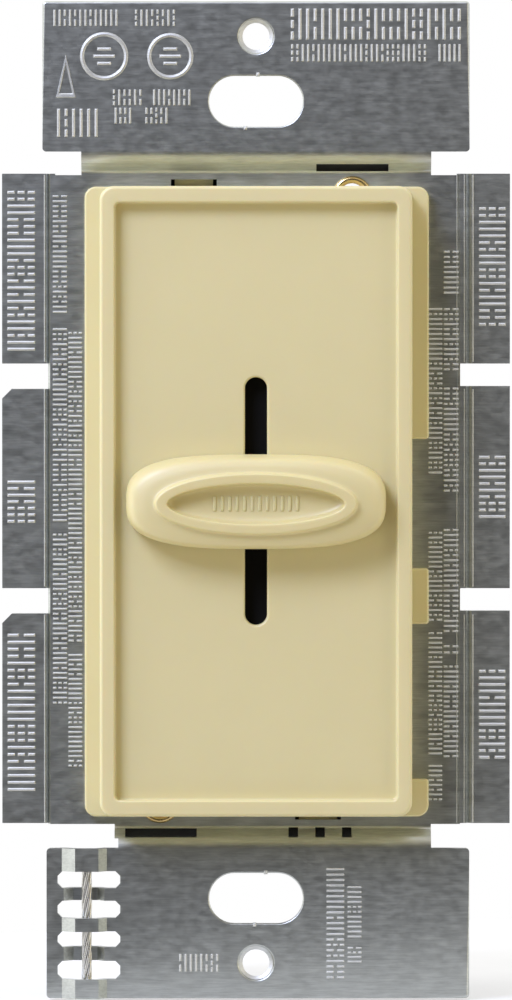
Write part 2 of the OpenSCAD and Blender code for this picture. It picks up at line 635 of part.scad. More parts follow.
// ---- Air-gap switch ----
module switch_rails() color("gold") for (x = rail_x) {
    box([x - rail_w / 2, rail_y[0], rail_z[0]], [x + rail_w / 2, rail_y[1], rail_z[1]]);
    for (z = [rail_z[0], rail_z[1] - rail_foot])
        box([x - 0.5, rail_y[0], z], [x + 0.5, board_back + 0.4, z + rail_foot]);
}
module switch_bridge() color("darkgoldenrod") {
    back = bridge_front + bridge_t;
    box([rail_x[0] - 0.9, bridge_front, -2.5], [rail_x[1] + 0.9, back, 2.5]);
    for (x = rail_x) rod([x, 0], 0.6, back, rail_y[0] - contact_gap);
}
module lead_terminals() color("gold") for (t = terminal_xz) difference() {
    union() {
        rod(t, 1.1, board_front - 0.4, board_back + 4);
        rod(t, 1.7, board_back, board_back + 0.6);
        rod(t, 1.6, board_back + 3.2, board_back + 4);
    }
    rod(t, 0.7, board_front - cut, board_back + 4 + cut);
}

mounting_yoke();
bezel();
slide_knob();
slide_actuator();
insulating_sheet();
housing_rivets();
rear_housing();
ground_conductor();
pot_cover();
pot_element();
pot_terminals();
pot_carriage();
pot_wiper();
circuit_board();
board_screws();
triac_leadframe();
triac_package();
triac_rivet();
choke_core();
choke_winding();
choke_clip();
film_capacitor();
timing_capacitor();
resistors();
diac();
switch_rails();
switch_bridge();
lead_terminals();
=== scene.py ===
import json
import math
import random

import bmesh
import bpy
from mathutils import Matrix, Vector

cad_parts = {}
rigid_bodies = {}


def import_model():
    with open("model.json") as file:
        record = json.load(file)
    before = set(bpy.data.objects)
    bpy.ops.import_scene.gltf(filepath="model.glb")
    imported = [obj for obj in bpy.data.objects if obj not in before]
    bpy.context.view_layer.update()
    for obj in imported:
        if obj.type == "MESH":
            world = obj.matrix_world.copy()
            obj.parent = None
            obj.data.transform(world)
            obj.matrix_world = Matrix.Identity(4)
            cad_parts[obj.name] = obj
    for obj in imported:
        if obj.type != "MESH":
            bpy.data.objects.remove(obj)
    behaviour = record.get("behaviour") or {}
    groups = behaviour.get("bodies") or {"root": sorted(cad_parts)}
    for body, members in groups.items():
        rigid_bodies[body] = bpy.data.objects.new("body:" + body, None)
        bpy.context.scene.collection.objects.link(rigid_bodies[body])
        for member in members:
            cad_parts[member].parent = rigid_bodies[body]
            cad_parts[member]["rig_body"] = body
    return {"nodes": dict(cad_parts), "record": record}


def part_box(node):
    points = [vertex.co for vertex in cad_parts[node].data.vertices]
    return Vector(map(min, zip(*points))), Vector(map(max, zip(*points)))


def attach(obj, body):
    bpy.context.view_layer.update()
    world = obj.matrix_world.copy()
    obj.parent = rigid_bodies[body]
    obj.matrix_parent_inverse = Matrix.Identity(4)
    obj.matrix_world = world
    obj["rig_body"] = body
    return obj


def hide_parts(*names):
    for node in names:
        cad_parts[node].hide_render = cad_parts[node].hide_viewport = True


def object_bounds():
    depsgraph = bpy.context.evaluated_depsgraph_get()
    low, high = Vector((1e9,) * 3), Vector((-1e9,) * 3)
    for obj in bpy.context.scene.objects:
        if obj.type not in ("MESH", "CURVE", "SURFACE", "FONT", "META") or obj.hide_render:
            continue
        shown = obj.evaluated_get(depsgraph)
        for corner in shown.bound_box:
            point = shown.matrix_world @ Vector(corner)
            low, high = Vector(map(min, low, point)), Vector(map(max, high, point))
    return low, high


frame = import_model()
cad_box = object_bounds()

MM = 0.001
X, Y, Z = 0, 1, 2
ROOT, SLIDER = "frame", "slider"


def least(node, axis):
    """A CAD node's least coordinate along an axis, in millimetres."""
    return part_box(node)[0][axis] / MM


def most(node, axis):
    """A CAD node's greatest coordinate along an axis, in millimetres."""
    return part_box(node)[1][axis] / MM


# ---------------------------------------------------------------- driving sizes, in millimetres
# X is across the device, Y runs back into the wall, Z is up. A pair is a half width and a half
# height unless its comment says otherwise.
EAR_FRONT = -1.3
EAR_EDGE = (21.7, 51.5)       # where the rounding of an ear's outer edges starts
EAR_LOWEST = 36.75            # the ears' edges are rounded from here outwards
LADDER_RIGHT = -13            # the crimp ladder lies to the left of this, on the lower ear
PLATE_FRONT, PLATE_BACK = 0.3, 1.6
SCREW_Z, SCREW_R = 48.42, 1.75
THREAD_PITCH = 0.794
DEVICE_SLOT_Z = 41.65
DEVICE_SLOT = (4.95, 2.7)
EYELET = (10.05, 31.75)       # x and z of the upper one; the lower one is opposite

TIER = (16.25, 32.8)          # the bezel's raised part
TIER_R = 1.5
RIM = (1.55, 1.7)             # width of the rim down the sides and across the ends
BEZEL_FRONT = least("bezel", Y)
PANEL_FRONT = BEZEL_FRONT + 1.4
PANEL_BACK = PANEL_FRONT + 1.6
CAVITY = (14.65, 31.4)
SLOT = (1.15, 12.9)
PANEL_RIB = (0.45, 31)
PANEL_RIB_X = 3.6
END_HOOK_X = (-8.5, -4.5)     # left and right side of the upper end hook
END_HOOK_Z = (31.5, 32.8, 33.65)      # its inner face, its outer face and its barb's tip
SIDE_HOOK_X = (15.95, 16.85)  # a side hook's outer face and its barb's tip
SIDE_HOOK_Z, SIDE_HOOK_HALF = 23.4, 2.6
LIP_BACK, LIP_T = PLATE_FRONT, 1.4    # the lip behind the raised part, and its thickness

KNOB = (most("slide_knob", X), most("slide_knob", Z))
KNOB_FRONT = least("slide_knob", Y)
DISH_DEPTH = 1.5
RING_DROP = 0.15              # how far the ring sits below the middle of the knob

LABEL_Z = 2                   # middle of the label on the housing's back
BOX_BACK, BOX_SIDE = most("rear_housing", Y), most("rear_housing", X)


# ---------------------------------------------------------------- materials
class Nodes:
    """A material's node tree, with short calls to add and join nodes."""

    def __init__(self, name):
        self.mat = bpy.data.materials.new(name)
        self.mat.use_nodes = True
        self.tree = self.mat.node_tree
        self.shader = self.tree.nodes["Principled BSDF"]
        self.coord = self.tree.nodes.new("ShaderNodeTexCoord").outputs["Object"]

    def link(self, source, target):
        self.tree.links.new(source, target)

    def set(self, **values):
        for key, value in values.items():
            self.shader.inputs[key.replace("_", " ")].default_value = value

    def noise(self, scale, stretch=(1, 1, 1), detail=4, roughness=0.55):
        """Noise at scale cells per millimetre, stretched along the axes."""
        mapping = self.tree.nodes.new("ShaderNodeMapping")
        mapping.inputs["Scale"].default_value = [scale / MM * s for s in stretch]
        self.link(self.coord, mapping.inputs["Vector"])
        node = self.tree.nodes.new("ShaderNodeTexNoise")
        node.inputs["Scale"].default_value = 1
        node.inputs["Detail"].default_value = detail
        node.inputs["Roughness"].default_value = roughness
        self.link(mapping.outputs["Vector"], node.inputs["Vector"])
        return node.outputs["Fac"]

    def ramp(self, source, low, high, out_low=0.0, out_high=1.0):
        """Maps low..high to out_low..out_high, clamped."""
        node = self.tree.nodes.new("ShaderNodeMapRange")
        limits = {"From Min": low, "From Max": high, "To Min": out_low, "To Max": out_high}
        for key, value in limits.items():
            node.inputs[key].default_value = value
        self.link(source, node.inputs["Value"])
        return node.outputs["Result"]

    def math(self, operation, a, b):
        node = self.tree.nodes.new("ShaderNodeMath")
        node.operation = operation
        for socket, value in zip(node.inputs, (a, b)):
            if isinstance(value, (int, float)):
                socket.default_value = value
            else:
                self.link(value, socket)
        return node.outputs[0]

    def mix(self, factor, a, b):
        """Mixes two colours, each a triple or a socket."""
        node = self.tree.nodes.new("ShaderNodeMix")
        node.data_type = "RGBA"
        self.link(factor, node.inputs["Factor"])
        for socket, value in ((node.inputs["A"], a), (node.inputs["B"], b)):
            if isinstance(value, (tuple, list)):
                socket.default_value = (*value, 1)
            else:
                self.link(value, socket)
        return node.outputs["Result"]

    def bump(self, height, distance):
        node = self.tree.nodes.new("ShaderNodeBump")
        node.inputs["Distance"].default_value = distance * MM
        node.inputs["Strength"].default_value = 1
        self.link(height, node.inputs["Height"])
        self.link(node.outputs["Normal"], self.shader.inputs["Normal"])


def rolled_metal(name, colour, roughness, grain, tint, bump):
    """Rolled sheet: short streaks along X over a mottle, with duller specks."""
    m = Nodes(name)
    streak = m.noise(6.0, (0.07, 0.6, 1), 3, 0.6)
    fine = m.noise(14.0, (0.25, 1, 1), 2, 0.5)
    mottle = m.noise(0.75, (0.45, 1, 1.2), 6, 0.68)
    speck = m.noise(1.6, (0.5, 1, 1), 3, 0.5)
    grey = m.math("ADD", m.math("MULTIPLY", streak, 0.6), m.math("MULTIPLY", mottle, 0.4))
    dark = [c * (1 - tint) for c in colour]
    light = [min(1, c * (1 + tint)) for c in colour]
    m.link(m.mix(m.ramp(grey, 0.36, 0.64), tuple(dark), tuple(light)), m.shader.inputs["Base Color"])
    rough = m.math("ADD", m.math("MULTIPLY", mottle, 0.25), m.math("MULTIPLY", speck, 0.75))
    m.link(m.ramp(rough, 0.35, 0.65, *roughness), m.shader.inputs["Roughness"])
    height = m.math("ADD", m.math("MULTIPLY", streak, 0.7 * grain), m.math("MULTIPLY", fine, 0.3))
    m.bump(height, bump)
    m.set(Metallic=1.0)
    return m.mat


def moulded(name, colour, roughness, texture=0.0012, depth=0.03, scatter=0.0, gloss=0.5):
    """Moulded plastic: a fine spark-eroded texture, a slow change of tone and duller rubbed places."""
    m = Nodes(name)
    grain = m.noise(9.0, detail=3)
    tone = m.noise(0.09, detail=4)
    scuff = m.noise(0.7, (1, 1, 0.3), 5, 0.6)
    dark = tuple(c * (1 - depth) for c in colour)
    light = tuple(min(1, c * (1 + depth)) for c in colour)
    m.link(m.mix(m.ramp(tone, 0.3, 0.7), dark, light), m.shader.inputs["Base Color"])
    m.link(m.ramp(scuff, 0.3, 0.72, *roughness), m.shader.inputs["Roughness"])
    m.bump(grain, texture)
    m.set(Specular_IOR_Level=gloss)
    if scatter:
        m.set(Subsurface_Weight=scatter, Subsurface_Radius=(1.0, 0.6, 0.2),
              Subsurface_Scale=1.5 * MM)
    return m.mat


def plated(name, colour, roughness=(0.2, 0.34), tint=0.06, bump=0.0015):
    """Small bright metal: drawn or plated, with fine handling marks."""
    m = Nodes(name)
    haze = m.noise(1.1, detail=5, roughness=0.6)
    mark = m.noise(6.0, (1, 0.2, 1), 3)
    dark = tuple(c * (1 - tint) for c in colour)
    light = tuple(min(1, c * (1 + tint)) for c in colour)
    m.link(m.mix(m.ramp(haze, 0.35, 0.65), dark, light), m.shader.inputs["Base Color"])
    m.link(m.ramp(haze, 0.3, 0.7, *roughness), m.shader.inputs["Roughness"])
    m.bump(mark, bump)
    m.set(Metallic=1.0)
    return m.mat


def woven(name, colour, second, scale=3.0, roughness=(0.5, 0.62)):
    """Board laminate or pressed fibre: a crossed weave or felted fibre under the surface colour."""
    m = Nodes(name)
    warp = m.noise(scale, (1, 1, 0.12), 3)
    weft = m.noise(scale, (0.12, 1, 1), 3)
    both = m.math("ADD", m.math("MULTIPLY", warp, 0.5), m.math("MULTIPLY", weft, 0.5))
    m.link(m.mix(m.ramp(both, 0.38, 0.62), colour, second), m.shader.inputs["Base Color"])
    m.link(m.ramp(both, 0.3, 0.7, *roughness), m.shader.inputs["Roughness"])
    m.bump(both, 0.004)
    return m.mat


ALUMINIUM = rolled_metal("rolled_aluminium", (0.55, 0.572, 0.542), (0.35, 0.43),
                         grain=0.8, tint=0.14, bump=0.004)
# A lighter copy of the yoke's aluminium for the raised marks, threads and burrs: its brighter base colour
# is painted highlight, standing in for the light their slopes catch.
LIGHTENED_MARK_METAL = rolled_metal("coined_aluminium_painted_highlight", (0.69, 0.70, 0.675), (0.5, 0.58),
                          grain=0.4, tint=0.08, bump=0.003)
IVORY = moulded("ivory_moulding", (0.72, 0.64, 0.34), (0.46, 0.56),
                texture=0.001, depth=0.012, scatter=0.25, gloss=1.0)
IVORY_KNOB = moulded("ivory_knob", (0.705, 0.615, 0.31), (0.42, 0.52),
                     texture=0.0006, depth=0.012, scatter=0.25, gloss=1.0)
BLACK = moulded("black_thermoset", (0.026, 0.026, 0.0265), (0.4, 0.52),
                texture=0.003, depth=0.12, gloss=0.4)
LABEL = moulded("label_foil", (0.62, 0.62, 0.60), (0.3, 0.5), texture=0.0008, depth=0.05)
LABEL_INK = moulded("label_ink", (0.05, 0.05, 0.055), (0.35, 0.5), texture=0.0008, depth=0.1)
SLOTS = {
    "yoke_aluminium": ALUMINIUM,
    "ivory_plastic": IVORY,
    "black_thermoset": BLACK,
    # This near-black is partly painted shade: the nylon is made darker than black nylon is, so the slot
    # it shows through reads as deep shade.
    "black_nylon": moulded("black_nylon", (0.004, 0.004, 0.004), (0.55, 0.7), 0.002, 0.2, gloss=0.12),
    "grey_fibre": woven("pressed_fibre", (0.09, 0.085, 0.075), (0.14, 0.13, 0.115), 2.2),
    "brass": plated("bright_brass", (0.80, 0.60, 0.27), (0.18, 0.3)),
    "tinned_copper": plated("tinned_copper", (0.72, 0.72, 0.70), (0.22, 0.38)),
    "plated_steel": plated("zinc_plated_steel", (0.60, 0.61, 0.63), (0.28, 0.42)),
    "phenolic": woven("phenolic_paper", (0.11, 0.035, 0.012), (0.16, 0.055, 0.018), 3.5),
    "natural_nylon": moulded("natural_nylon", (0.72, 0.70, 0.62), (0.4, 0.5), 0.001, 0.02, 0.1),
    "spring_bronze": plated("spring_bronze", (0.62, 0.34, 0.13), (0.22, 0.34)),
    "board_laminate": woven("board_laminate", (0.012, 0.07, 0.022), (0.018, 0.095, 0.03), 2.6,
                            (0.3, 0.4)),
    "black_epoxy": moulded("black_epoxy", (0.018, 0.018, 0.02), (0.5, 0.64), 0.003, 0.2, gloss=0.4),
    "rivet_aluminium": plated("rivet_aluminium", (0.70, 0.71, 0.72), (0.24, 0.4)),
    "ferrite": moulded("painted_ferrite", (0.07, 0.10, 0.11), (0.34, 0.48), 0.004, 0.12),
    "enamelled_copper": plated("enamelled_copper", (0.42, 0.13, 0.04), (0.14, 0.22)),
    "red_epoxy": moulded("dipped_epoxy", (0.32, 0.022, 0.012), (0.16, 0.26), 0.003, 0.08),
    "resistor_lacquer": moulded("resistor_lacquer", (0.42, 0.24, 0.11), (0.2, 0.3), 0.002, 0.08),
    "diac_lacquer": moulded("diac_lacquer", (0.02, 0.07, 0.2), (0.2, 0.3), 0.002, 0.08),
}
SLOT_OF = {s["node"]: s["material_slot"] for s in frame["record"]["subparts"]}


# ---------------------------------------------------------------- meshes
def finish_piece(bm, name, material, body, replaces=(), flat_over=50, weighted=True):
    """Turns a bmesh in millimetres into a piece that rides on a body."""
    bmesh.ops.recalc_face_normals(bm, faces=bm.faces)
    bmesh.ops.scale(bm, vec=(MM, MM, MM), verts=bm.verts)
    for face in bm.faces:
        face.smooth = True
    limit = math.radians(flat_over)
    for edge in bm.edges:
        if len(edge.link_faces) == 2 and edge.calc_face_angle(0) > limit:
            edge.smooth = False
    mesh = bpy.data.meshes.new(name)
    bm.to_mesh(mesh)
    bm.free()
    mesh.materials.append(material)
    piece = bpy.data.objects.new(name, mesh)
    bpy.context.scene.collection.objects.link(piece)
    if weighted:
        modifier = piece.modifiers.new("weighted", "WEIGHTED_NORMAL")
        modifier.keep_sharp = True
        modifier.weight = 80
    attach(piece, body)
    if replaces:
        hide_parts(*replaces)


def loft(bm, rings, closed=False, caps=True):
    """Faces between rings of the same number of points, each a list of (x, y, z)."""
    rows = [[bm.verts.new(p) for p in ring] for ring in rings]
    pairs = list(zip(rows, rows[1:])) + ([(rows[-1], rows[0])] if closed else [])
    for a, b in pairs:
        for i in range(len(a)):
            j = (i + 1) % len(a)
            bm.faces.new((a[i], a[j], b[j], b[i]))
    if caps and not closed:
        bm.faces.new(rows[0])
        bm.faces.new(reversed(rows[-1]))


def rounded(half_x, half_z, r, y, centre=(0, 0), corner=12):
    """Points of a rectangle with round corners at depth y. A slot is one whose r is its half width."""
    points = []
    for cx, cz, start in ((1, 1, 0), (-1, 1, 90), (-1, -1, 180), (1, -1, 270)):
        for i in range(corner + 1):
            a = math.radians(start + 90 * i / corner)
            points.append((centre[0] + cx * (half_x - r) + r * math.cos(a), y,
                           centre[1] + cz * (half_z - r) + r * math.sin(a)))
    return points


def circle(centre, r, y, sides):
    """Points of a circle round centre, an (x, z) pair, at depth y."""
    angles = [2 * math.pi * k / sides for k in range(sides)]
    return [(centre[0] + r * math.cos(a), y, centre[1] + r * math.sin(a)) for a in angles]


def arc(n, start, end):
    """n + 1 (cos, sin) pairs from start to end degrees."""
    steps = [math.radians(start + (end - start) * i / n) for i in range(n + 1)]
    return [(math.cos(a), math.sin(a)) for a in steps]


def bar(bm, lo, hi, edge):
    """Box from lo to hi, its front and upright edges rounded by edge."""
    hx, hz = (hi[0] - lo[0]) / 2, (hi[2] - lo[2]) / 2
    centre = ((hi[0] + lo[0]) / 2, (hi[2] + lo[2]) / 2)
    rings = [rounded(hx, hz, edge, hi[1], centre, 6)]
    for c, s in arc(5, 0, 90):
        inset = edge * (1 - c) * 0.98
        y = lo[1] + edge * (1 - s)
        rings.append(rounded(hx - inset, hz - inset, max(edge - inset, 0.02), y, centre, 6))
    loft(bm, rings)


def from_node(node, name, material, width, segments=2, first=()):
    """The CAD node's own shape, welded, its flat faces whole and its edges broken by a bevel.

    first lists (test, width) pairs: edges whose two ends pass the test get their own, wider bevel."""
    bm = bmesh.new()
    bm.from_mesh(frame["nodes"][node].data)
    bmesh.ops.scale(bm, vec=(1 / MM,) * 3, verts=bm.verts)
    bmesh.ops.remove_doubles(bm, verts=bm.verts, dist=0.0008)
    bmesh.ops.dissolve_limit(bm, angle_limit=math.radians(0.6), verts=bm.verts, edges=bm.edges,
                             delimit={"NORMAL"})

    def sharp(degrees):
        limit = math.radians(degrees)
        return [e for e in bm.edges if len(e.link_faces) == 2 and e.calc_face_angle(0) > limit]

    def bevel(edges, offset, steps, clamp):
        bmesh.ops.bevel(bm, geom=edges, offset=offset, offset_type="OFFSET", segments=steps,
                        profile=0.5, affect="EDGES", clamp_overlap=clamp)

    for test, own in first:
        bevel([e for e in sharp(60) if all(test(v.co) for v in e.verts)], own, 4, False)
    bevel(sharp(32), width, segments, True)
    finish_piece(bm, name, material, frame["nodes"][node]["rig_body"], (node,), 40)


def on_screw_rim(co):
    """True on the front rims of the two tapped holes."""
    return co.y < EAR_FRONT + 0.05 and math.hypot(co.x, abs(co.z) - SCREW_Z) < SCREW_R + 0.1


def on_slot_rim(co):
    """True on the front rims of the two device-screw slots."""
    x, z = abs(co.x), abs(abs(co.z) - DEVICE_SLOT_Z)
    return co.y < EAR_FRONT + 0.05 and x < DEVICE_SLOT[0] and z < DEVICE_SLOT[1]


def on_ear_rim(co):
    """True on the outer front edges of the ears, away from the bends and the crimp ladder."""
    clear = abs(co.z) > EAR_LOWEST and (co.z > 0 or co.x > LADDER_RIGHT)
    outer = abs(co.x) > EAR_EDGE[0] or abs(co.z) > EAR_EDGE[1]
    return co.y < EAR_FRONT + 0.05 and clear and outer


def build_yoke():
    from_node("mounting_yoke", "yoke_sheet", ALUMINIUM, 0.09, 2,
              first=((on_screw_rim, 0.26), (on_slot_rim, 0.16), (on_ear_rim, 0.3)))


def build_threads():
    """Thread left standing in each tapped hole: a helical ridge that runs out at both faces."""
    bm = bmesh.new()
    sides, turns, rise = 40, 1.65, 0.62 * THREAD_PITCH
    steps = round(sides * turns)
    root = SCREW_R + 0.05
    for sign in (1, -1):
        rings = []
        for i in range(steps + 1):
            a = 2 * math.pi * i / sides + (0.1 if sign > 0 else -0.2)
            y = EAR_FRONT + 0.25 + i / sides * rise
            grow = min(1, 8 * i / steps, 8 * (1 - i / steps) + 0.05)
            crest = SCREW_R - 0.34 * grow
            section = ((root, -0.33), (crest, -0.06), (crest, 0.06), (root, 0.33))
            rings.append([(r * math.cos(a), y + dy, sign * SCREW_Z + r * math.sin(a))
                          for r, dy in section])
        loft(bm, rings)
    # The threads take the lighter mark metal, so part of their brightness is painted highlight.
    finish_piece(bm, "tapped_threads", LIGHTENED_MARK_METAL, ROOT, (), 30, False)


# ---------------------------------------------------------------- bezel
def bezel_rings():
    """The bezel's section, as rings from its rear rim round the front and back to the cavity."""
    tx, tz = TIER
    edge, lip, root, bead = 0.38, 0.22, 0.18, 0.27
    rings = [rounded(tx, tz, TIER_R, y)
             for y in (PLATE_FRONT, PLATE_FRONT - 1.0, BEZEL_FRONT + edge + 0.6)]
    for c, s in arc(8, 0, 90):
        inset = edge * (1 - c)
        rings.append(rounded(tx - inset, tz - inset, TIER_R - inset, BEZEL_FRONT + edge * (1 - s)))
    ix, iz, ir = tx - RIM[0], tz - RIM[1], 0.55
    for c, s in arc(6, 90, 0):
        out = lip * (1 - c)
        rings.append(rounded(ix + out, iz + out, ir + out, BEZEL_FRONT + lip * (1 - s)))
    for c, s in arc(4, 0, 90):
        inset = root * (1 - c)
        rings.append(rounded(ix - inset, iz - inset, ir - inset, PANEL_FRONT - root * (1 - s)))
    for c, s in arc(5, 90, 0):
        half = SLOT[0] + bead * (1 - c)
        rings.append(rounded(half, SLOT[1] + bead * (1 - c), half - 0.001, PANEL_FRONT + bead * (1 - s)))
    rings.append(rounded(SLOT[0], SLOT[1], SLOT[0] - 0.001, PANEL_BACK))
    rings.append(rounded(CAVITY[0] - 0.3, CAVITY[1] - 0.3, 0.5, PANEL_BACK))
    rings.append(rounded(*CAVITY, 0.8, PANEL_BACK + 0.3))
    rings.append(rounded(*CAVITY, 0.8, PLATE_FRONT))
    return rings


def add_hooks(bm):
    """Snap hooks that go through the yoke: one at each end and one on each side."""
    start, catch, back = PLATE_FRONT - 0.2, PLATE_BACK + 0.05, PLATE_BACK + 0.9
    inner, outer, tip = END_HOOK_Z
    end = ((start, inner), (back, inner), (back, outer), (catch, tip), (catch, outer), (start, outer))
    wall, face, barb = CAVITY[0], *SIDE_HOOK_X
    side = ((wall, start), (face, start), (face, catch), (barb, catch), (face, back), (wall, back))
    for s in (1, -1):
        loft(bm, [[(s * x, y, s * z) for y, z in end] for x in END_HOOK_X])
        loft(bm, [[(s * x, y, s * SIDE_HOOK_Z + dz) for x, y in side]
                  for dz in (-SIDE_HOOK_HALF, SIDE_HOOK_HALF)])


def build_bezel():
    """The raised part with its rim, panel and slot, its hooks, and two ribs behind the panel."""
    bm = bmesh.new()
    loft(bm, bezel_rings(), closed=True)
    add_hooks(bm)
    for x in (-PANEL_RIB_X, PANEL_RIB_X):
        loft(bm, [rounded(*PANEL_RIB, 0.1, y, (x, 0), 2) for y in (PANEL_BACK - 0.1, PANEL_BACK + 0.8)])
    finish_piece(bm, "bezel_moulding", IVORY, ROOT, ("bezel",), 60)


def plate(bm, x, z, corners):
    """Part of the thin lip, from x[0] to x[1] and z[0] to z[1], its front edge rounded.

    corners holds the corners' radii, anticlockwise from the upper right."""
    edge, steps = 0.22, 8
    front = LIP_BACK - LIP_T

    def ring(inset, y):
        points = []
        for (ix, iz), r, start in zip(((1, 1), (0, 1), (0, 0), (1, 0)), corners, (0, 90, 180, 270)):
            cx = x[ix] - (r if ix else -r)
            cz = z[iz] - (r if iz else -r)
            for i in range(steps + 1):
                a = math.radians(start + 90 * i / steps)
                points.append((cx + (r - inset) * math.cos(a), y, cz + (r - inset) * math.sin(a)))
        return points

    rounding = [ring(edge * (1 - c), front + edge * (1 - s)) for c, s in arc(5, 0, 90)]
    loft(bm, [ring(0, LIP_BACK)] + rounding)


def build_flange():
    """The thin lip behind the raised part: whole on the left, three tabs on the right."""
    bottom, top, inner = -33.1, 32.75, 14.9
    large, small = 1.2, 0.3
    left, right = (-17.9, -inner), (inner, 18.05)
    bm = bmesh.new()
    plate(bm, left, (bottom, top), (small, large, large, small))
    plate(bm, right, (6.4, top), (large, small, small, small))
    plate(bm, right, (-12.95, -7.15), (small, small, small, small))
    plate(bm, right, (bottom, -29.2), (small, small, small, large))
    finish_piece(bm, "bezel_flange", IVORY, ROOT, (), 60)


# ---------------------------------------------------------------- knob
def oval(a, b, power, y, n=144):
    """Superellipse of half width a and half height b."""
    points = []
    for i in range(n):
        t = 2 * math.pi * i / n
        c, s = math.cos(t), math.sin(t)
        points.append((a * math.copysign(abs(c) ** (2 / power), c), y,
                       b * math.copysign(abs(s) ** (2 / power), s)))
    return points


def through(keys, steps):
    """Catmull-Rom curve through rows of numbers, with steps points between each two."""
    out = []
    for i in range(len(keys) - 1):
        p = [keys[max(i - 1, 0)], keys[i], keys[i + 1], keys[min(i + 2, len(keys) - 1)]]
        for k in range(steps):
            t = k / steps
            out.append([0.5 * (2 * p[1][j] + (p[2][j] - p[0][j]) * t
                               + (2 * p[0][j] - 5 * p[1][j] + 4 * p[2][j] - p[3][j]) * t * t
                               + (3 * p[1][j] - p[0][j] - 3 * p[2][j] + p[3][j]) * t ** 3)
                        for j in range(len(keys[0]))])
    return out + [list(keys[-1])]


def build_knob():
    """A cushioned oval with a raised flat ring round a hollow dish, on a flat stem.

    Each row of a curve holds an oval's half width, half height and power, and its depth."""
    a, b = KNOB
    back, front = PANEL_FRONT - 0.15, KNOB_FRONT
    foot = (10.85, 3.5, 2.15, front + 0.66)       # where the cushion meets the ring
    brink = (9.17, 2.06, 1.88, front + 0.45)      # where the ring meets the dish
    skirt = through([(a - 0.12, b - 0.12, 3.2, back), (a, b, 3.1, back - 0.4), (a, b, 3.05, back - 1.4),
                     (a - 0.14, b - 0.07, 2.98, back - 2.4), (a - 0.66, b - 0.34, 2.85, front + 1.3),
                     (a - 1.6, b - 0.85, 2.5, front + 0.86), foot], 5)
    ring = through([foot, (10.62, 3.3, 2.08, front + 0.56), (10.48, 3.17, 2.04, front + 0.2),
                    (10.33, 3.04, 2.02, front + 0.02), (9.95, 2.74, 1.99, front),
                    (9.42, 2.3, 1.95, front + 0.01), (9.24, 2.13, 1.9, front + 0.1), brink], 5)
    dish = through([brink, (9.05, 1.98, 1.88, front + 0.95), (8.5, 1.8, 1.9, front + 1.27),
                    (6.3, 1.3, 1.95, front + 1.43), (3.2, 0.64, 2, front + 1.49),
                    (0.5, 0.1, 2, front + DISH_DEPTH)], 5)
    # The ring's drop grows from nothing at the skirt to the whole at the ring
    still, dropped = back - 1.2, front + 0.6
    rings = []
    for half_x, half_z, power, y in skirt[:-1] + ring[:-1] + dish:
        drop = RING_DROP * min(1, max(0, (still - y) / (still - dropped)))
        rings.append([(x, max(depth, front), z - drop)
                      for x, depth, z in oval(half_x, half_z, power, y)])
    bm = bmesh.new()
    loft(bm, rings)
    stem_x, stem_z, stem_back = 0.95, 2.7, -2.75
    loft(bm, [rounded(stem_x, stem_z, stem_x - 0.001, y, (0, 0), 8) for y in (back - 0.2, stem_back)])
    finish_piece(bm, "slide_knob_moulding", IVORY_KNOB, SLIDER, ("slide_knob",),
                 75, False)


def build_grip():
    """Row of low ribs in the middle of the dish."""
    count, pitch, half_w, half_h, depth = 12, 0.78, 0.17, 0.8, 0.4
    bottom, top = -half_h - RING_DROP, half_h - RING_DROP
    bm = bmesh.new()
    for i in range(count):
        x = (i - (count - 1) / 2) * pitch
        front = KNOB_FRONT + DISH_DEPTH - 0.12 - 0.1 * (x / 6.3) ** 2
        bar(bm, (x - half_w, front, bottom), (x + half_w, front + depth, top), 0.11)
    finish_piece(bm, "knob_grip_ribs", IVORY_KNOB, SLIDER, (), 60)


# ---------------------------------------------------------------- rivets and conductor
def build_rivets():
    """Brass eyelets with rolled lips, front and back."""
    front, back = PLATE_FRONT, 6.0
    bore, shank = 1.35, 1.6
    profile = [(bore, back + 0.62), (1.5, back + 0.66), (1.85, back + 0.6), (2.08, back + 0.35),
               (2.1, back + 0.08), (2.0, back), (shank, back), (shank, front), (2.0, front),
               (2.1, front - 0.08), (2.06, front - 0.3), (1.85, front - 0.44),
               (1.55, front - 0.45), (1.38, front - 0.3), (bore, front - 0.05)]
    bm = bmesh.new()
    for sign in (1, -1):
        centre = [sign * v for v in EYELET]
        loft(bm, [circle(centre, r, y, 48) for r, y in profile], closed=True)
    finish_piece(bm, "eyelet_rivets", SLOTS["brass"], ROOT, ("housing_rivets",), 60)


def build_conductor():
    """Seven tinned strands, the outer six laid round the middle one, between the ladder's rungs."""
    start, end = (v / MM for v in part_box("ground_conductor"))
    middle = ((start.x + end.x) / 2, (start.y + end.y) / 2)
    strand_r, outer, lay = 0.182, 6, 11.0
    sides, steps = 8, 60
    bm = bmesh.new()
    for k in range(outer + 1):
        offset = 0 if k == outer else 2 * strand_r + 0.001
        rings = []
        for i in range(steps + 1):
            z = start.z + (end.z - start.z) * i / steps
            a = 2 * math.pi * (k / outer + (z - start.z) / lay)
            cx, cy = middle[0] + offset * math.cos(a), middle[1] + offset * math.sin(a)
            rings.append([(cx + strand_r * math.cos(2 * math.pi * side / sides),
                           cy + strand_r * math.sin(2 * math.pi * side / sides), z)
                          for side in range(sides)])
        loft(bm, rings)
    finish_piece(bm, "ground_strands", SLOTS["tinned_copper"], ROOT,
                 ("ground_conductor",), 60, False)


# ---------------------------------------------------------------- coined marks on the yoke
COIN = 0.13                   # height of a coined stroke
# A stroke is whole or in two or three pieces: each one's place along it and share of its length
STROKE_PIECES = (((0, 1),), ((-0.29, 0.42), (0.29, 0.42)), ((-0.36, 0.28), (0, 0.28), (0.36, 0.28)))
